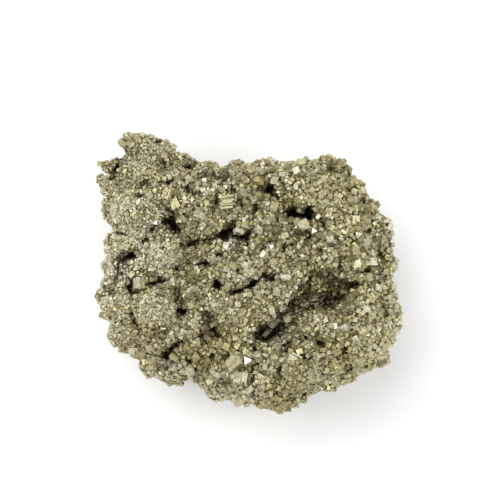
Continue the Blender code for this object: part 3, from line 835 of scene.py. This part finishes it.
def scatter_crystals(surface, material, taken, side_pits):
    chance = np.random.default_rng(SEED)
    points, normals, opened = surface.scatter(CANDIDATES, chance)
    free = np.ones(len(points), bool)
    for centre, reach in taken:
        free &= ((points - centre) ** 2).sum(1) > reach * reach
    points, normals, opened = points[free], normals[free], opened[free]
    sugary, ring = lumps_at(points)
    wave = np.array([noise.noise(Vector(p) / 9.0) for p in points])
    edges = (EDGE + (FINE_EDGE - EDGE) * sugary) * (1 + 0.22 * wave)
    upper, across = upper_share(points), pixels_of(points)[0]
    at, size, yellower = zip(*ACROSS)
    edges *= 1 + (np.interp(across, at, size) - 1) * upper
    edges *= np.exp(chance.normal(0, EDGE_SPREAD, len(points)))
    edges[:BOLD] *= 1 + (BOLD_SIZE - 1) * ((1 - sugary) * np.clip(0.5 + normals[:, 2], 0, 1))[:BOLD]
    _, within, dark = pits_at(points)
    _, side_within, side_dark = side_pits.at(points)
    within, dark = np.maximum(within, side_within), np.maximum(dark, side_dark)
    # Painted shade in the pits: a crystal counts as no more open than the pit's shade leaves it.
    opened = np.minimum(np.maximum(opened, LEAST_OPEN), 1 - dark)
    edges = np.clip(edges, *EDGE_LIMITS)
    edges = np.where(dark > 0.05, np.minimum(edges, RIM_EDGE), edges)
    kept = thinned(points, edges)
    kept = kept[chance.random(len(kept)) > (within * dark)[kept] * (1 - IN_PITS)]
    points, normals, opened, edges, sugary, ring, upper, across = (
        a[kept] for a in (points, normals, opened, edges, sugary, ring, upper, across)
    )

    count = len(points)
    outward = np.minimum(edges, OUTWARD_EDGE) * chance.uniform(*OUTWARD, count)
    centres = points + normals * outward[:, None]
    turns = rotations(bunch_angles(points)) @ rotations(
        np.radians(chance.uniform(-BUNCH_TWIST, BUNCH_TWIST, (count, 3)))
    )
    sides = edges[:, None] * chance.uniform(0.82, 1.22, (count, 3))
    brown = np.clip(areas_at(points, STAIN_AND_SHADE_AREAS) + chance.normal(0, 0.10, count), 0, 1)
    # Paler or duller areas: partly the crystals' own tone, partly painted light and shade where the upper face lies
    # darker or brighter in the light.
    paler = areas_at(points, TONE_AND_LIGHT_AREAS) + LUMP_TONE * sugary
    tone = 0.43 + chance.normal(0, 0.27, count) * (1 - EVENER * sugary) + paler - BROWN_DULL * brown
    gloss = (0.51 + chance.normal(0, 0.20, count)) * (1 - EVENER * sugary)
    tone, gloss = np.clip(tone, 0, 1), np.clip(gloss, 0, 1)
    hue = chance.random(count)
    plain = 0.48 + chance.normal(0, 0.06, count) + np.interp(across, at, yellower) * upper
    plain += PALER_HUE * np.maximum(paler, 0)
    hue = np.where(hue > YELLOW_SHARE, np.clip(plain, 0.2, 0.78), 1.0)
    # Painted shade in the creases between bunches and round lumps of sugar.
    valley = np.array([sum(crease(Vector(p), spacing) for spacing, _ in BUNCHES) for p in points]) / len(BUNCHES)
    opened = opened * (1 - VALLEY_SHADE * valley) * (1 - RING_SHADE * ring)
    clear_of_foot = centres[:, 2] - edges * 0.87 > 0.0
    region = region_of(points, normals)
    form = chance.choice(len(FORMS), size=count, p=[share for _, share in FORMS])
    made = []
    for name in sorted(set(region)):
        builder = Builder()
        for index, (form_name, _) in enumerate(FORMS):
            pick = (region == name) & (form == index) & clear_of_foot
            values = {"tone": tone[pick], "open": opened[pick], "gloss": gloss[pick], "hue": hue[pick],
                      "brown": brown[pick]}
            builder.add(regular_form(form_name), centres[pick], turns[pick], sides[pick], values, points[pick],
                        normals[pick])
        made.append(builder.object(name, material))
    print("CRYSTALS", count, flush=True)
    return made


def node(tree, kind, **inputs):
    """A shader node with these inputs set or linked, by name with _ for a space."""
    made = tree.nodes.new(kind)
    for key, value in inputs.items():
        socket = made.inputs[key.replace("_", " ")]
        if isinstance(value, bpy.types.NodeSocket):
            tree.links.new(value, socket)
        else:
            socket.default_value = value
    return made


def attribute(tree, name):
    made = tree.nodes.new("ShaderNodeAttribute")
    made.attribute_name = name
    return made.outputs["Fac"]


def ramp(tree, factor, stops, interpolation="LINEAR"):
    made = node(tree, "ShaderNodeValToRGB", Fac=factor)
    made.color_ramp.interpolation = interpolation
    elements = made.color_ramp.elements
    for element, (place, colour) in zip(elements, stops[:2]):
        element.position, element.color = place, (*colour, 1)
    for place, colour in stops[2:]:
        elements.new(place).color = (*colour, 1)
    return made.outputs["Color"]


def mixed(tree, factor, first, second, blend="MIX"):
    made = tree.nodes.new("ShaderNodeMix")
    made.data_type = "RGBA"
    made.blend_type = blend
    for socket, value in ((made.inputs[0], factor), (made.inputs[6], first), (made.inputs[7], second)):
        if isinstance(value, bpy.types.NodeSocket):
            tree.links.new(value, socket)
        else:
            socket.default_value = value if isinstance(value, (int, float)) else (*value, 1)
    return made.outputs[2]


def math_node(tree, operation, a, b=0.0, clamp=False):
    made = tree.nodes.new("ShaderNodeMath")
    made.operation = operation
    made.use_clamp = clamp
    for socket, value in zip(made.inputs, (a, b)):
        if isinstance(value, bpy.types.NodeSocket):
            tree.links.new(value, socket)
        else:
            socket.default_value = value
    return made.outputs[0]


def vector_math(tree, operation, a, b=None, scale=None):
    made = tree.nodes.new("ShaderNodeVectorMath")
    made.operation = operation
    for socket, value in ((made.inputs[0], a), (made.inputs[1], b), (made.inputs[3], scale)):
        if isinstance(value, bpy.types.NodeSocket):
            tree.links.new(value, socket)
        elif value is not None:
            socket.default_value = value
    return made.outputs[0]


def new_material(name):
    material = bpy.data.materials.new(name)
    material.use_nodes = True
    tree = material.node_tree
    shader = tree.nodes["Principled BSDF"]
    shader.inputs["Metallic"].default_value = 1.0
    return material, tree, shader


PALE = (0.68, 0.650, 0.540)
BRASSY = (0.55, 0.510, 0.330)
DULL = (0.40, 0.360, 0.190)
YELLOW = (0.70, 0.63, 0.34)
ORANGE = (0.46, 0.37, 0.18)
# The colour of painted shade: crystals and mass are blended to it where they count as little open, in pits, creases and
# hollows and on low corners. It is also the dark end of the mass's own grains, which show only in the gaps between
# crystals and stand for shade there too.
MASS_AND_PAINTED_SHADE_BROWN = (0.120, 0.096, 0.052)
GREYER, YELLOWER = (0.98, 1.00, 1.06), (1.01, 1.00, 0.89)   # multiply the colour of crystals of these hues
STAIN_AND_SHADE_BROWN = (0.62, 0.54, 0.40)    # multiplies the colour of brown crystals: partly a stain, partly painted shade
BROWN_DULL = 0.30           # how much duller they are
PALER_HUE = 0.55            # how much yellower the paler ones are
YELLOW_SHARE = 0.0008       # of the ordinary crystals
GRAIN_M = 0.00050           # width in metres of the small grains on a crystal's faces
GRAIN_TILT = 0.9            # how far the dullest crystals' grains would lean
MOST_TILT = 0.45            # and how far they do at most
GRAIN_TONES = 0.35          # how much darker the darkest grain is
STRIA_SPACING = 0.40        # of the fine growth lines on a crystal's faces


def pyrite_crystals():
    material, tree, shader = new_material("pyrite_crystals")
    tone = attribute(tree, "tone")
    colour = ramp(tree, tone, [(0.0, DULL), (1.0, PALE), (0.5, BRASSY)])
    place = node(tree, "ShaderNodeTexCoord").outputs["Object"]
    grains = node(tree, "ShaderNodeTexVoronoi", Vector=place, Scale=1 / GRAIN_M)
    grain_tone = node(tree, "ShaderNodeSeparateColor", Color=grains.outputs["Color"]).outputs["Red"]
    darker = ramp(tree, grain_tone, [(0.0, (1 - GRAIN_TONES,) * 3), (1.0, (1.0,) * 3)])
    colour = mixed(tree, 1.0, colour, darker, "MULTIPLY")
    # Brown crystals: partly a stain, partly painted shade, as along the bottom rim and in the hollows.
    colour = mixed(tree, attribute(tree, "brown"), colour, mixed(tree, 1.0, colour, STAIN_AND_SHADE_BROWN, "MULTIPLY"))
    hue = attribute(tree, "hue")
    colour = mixed(tree, 1.0, colour, ramp(tree, hue, [(0.2, GREYER), (0.8, YELLOWER)]), "MULTIPLY")
    colour = mixed(tree, math_node(tree, "GREATER_THAN", hue, 0.8), colour, YELLOW)
    colour = mixed(tree, math_node(tree, "LESS_THAN", hue, 0.15), colour, ORANGE)
    # Painted shade: crystals that count as little open are blended towards the shade brown.
    shade = ramp(tree, attribute(tree, "open"), [(0.05, (0.0,) * 3), (0.50, (1.0,) * 3)])
    colour = mixed(tree, shade, MASS_AND_PAINTED_SHADE_BROWN, colour)
    tree.links.new(colour, shader.inputs["Base Color"])
    gloss = attribute(tree, "gloss")
    rough = ramp(tree, gloss, [(0.0, (0.66,) * 3), (1.0, (0.26,) * 3), (0.5, (0.50,) * 3)])
    tree.links.new(rough, shader.inputs["Roughness"])
    stria = attribute(tree, "stria")
    lines = math_node(tree, "SINE", math_node(tree, "MULTIPLY", stria, 2 * math.pi / STRIA_SPACING))
    bump = node(tree, "ShaderNodeBump", Strength=0.5, Distance=0.00002, Height=lines)
    off_centre = vector_math(tree, "SUBTRACT", grains.outputs["Color"], (0.5, 0.5, 0.5))
    tilt = math_node(tree, "MULTIPLY", math_node(tree, "SUBTRACT", 1.0, gloss), GRAIN_TILT)
    tilt = math_node(tree, "MINIMUM", tilt, MOST_TILT)
    leaning = vector_math(tree, "SCALE", off_centre, scale=tilt)
    summed = vector_math(tree, "ADD", leaning, bump.outputs["Normal"])
    tree.links.new(vector_math(tree, "NORMALIZE", summed), shader.inputs["Normal"])
    return material


def pyrite_mass():
    material, tree, shader = new_material("pyrite_mass")
    place = node(tree, "ShaderNodeTexCoord").outputs["Object"]
    grains = node(tree, "ShaderNodeTexVoronoi", Vector=place, Scale=1600.0)
    tone = node(tree, "ShaderNodeSeparateColor", Color=grains.outputs["Color"]).outputs["Red"]
    # The mass's own grains run from the dark brown to DULL; showing only in the gaps between crystals, their dark also
    # stands for shade there. Where the mass counts as little open it is blended further to the brown: painted shade.
    colour = ramp(tree, tone, [(0.0, MASS_AND_PAINTED_SHADE_BROWN), (1.0, DULL)])
    shade = ramp(tree, attribute(tree, "open"), [(0.05, (0.0,) * 3), (0.80, (1.0,) * 3)])
    colour = mixed(tree, shade, MASS_AND_PAINTED_SHADE_BROWN, colour)
    tree.links.new(colour, shader.inputs["Base Color"])
    shader.inputs["Roughness"].default_value = 0.48
    bump = node(tree, "ShaderNodeBump", Strength=0.9, Distance=0.0002, Height=grains.outputs["Distance"])
    bump.invert = True
    tree.links.new(bump.outputs["Normal"], shader.inputs["Normal"])
    return material


def make_mass(mesh, open_share):
    layer = mesh.attributes.new("open", "FLOAT", "POINT")
    layer.data.foreach_set("value", open_share.astype(np.float32))
    mesh.transform(Matrix.Scale(MM, 4))
    mesh.materials.clear()
    mesh.materials.append(pyrite_mass())
    return link(bpy.data.objects.new("pyrite_mass", mesh))


def make_floor():
    mesh = bpy.data.meshes.new("floor")
    half = 2.0
    mesh.from_pydata([(-half, -half, 0), (half, -half, 0), (half, half, 0), (-half, half, 0)], [], [(0, 1, 2, 3)])
    material = bpy.data.materials.new("floor")
    material.use_nodes = True
    shader = material.node_tree.nodes["Principled BSDF"]
    shader.inputs["Base Color"].default_value = (0.86, 0.86, 0.86, 1)
    shader.inputs["Roughness"].default_value = 0.7
    mesh.materials.append(material)
    floor = link(bpy.data.objects.new("floor", mesh))


def make_softbox(name, place, side, watts):
    data = bpy.data.lights.new(name, "AREA")
    data.size = side
    data.energy = watts
    light = link(bpy.data.objects.new(name, data))
    light.location = place
    light.rotation_euler = (-Vector(place)).to_track_quat("-Z", "Y").to_euler()


def make_lights():
    world = bpy.data.worlds.new("studio")
    world.use_nodes = True
    tree = world.node_tree
    height = node(tree, "ShaderNodeSeparateXYZ", Vector=node(tree, "ShaderNodeTexCoord").outputs["Generated"])
    sky = ramp(tree, height.outputs["Z"], [(0.0, (1.0,) * 3), (1.0, (0.22,) * 3), (0.45, (0.75,) * 3)])
    tree.links.new(sky, tree.nodes["Background"].inputs["Color"])
    tree.nodes["Background"].inputs["Strength"].default_value = 0.84
    bpy.context.scene.world = world
    for softbox in SOFTBOXES:
        make_softbox(*softbox)
    bpy.context.scene.view_settings.view_transform = "Standard"


def build():
    make_camera()
    make_lights()
    make_floor()
    mesh, side_pits = mass_mesh()
    tree = tree_of(mesh)
    open_share = openness(mesh, tree)
    surface = Surface(mesh, open_share)
    material = pyrite_crystals()
    largest, taken = large_crystals(surface, tree, material)
    pieces = [largest] + scatter_crystals(surface, material, taken, side_pits)
    mass = make_mass(mesh, open_share)
    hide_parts(NODE)
    for piece in [mass] + pieces:
        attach(piece, BODY)


build()
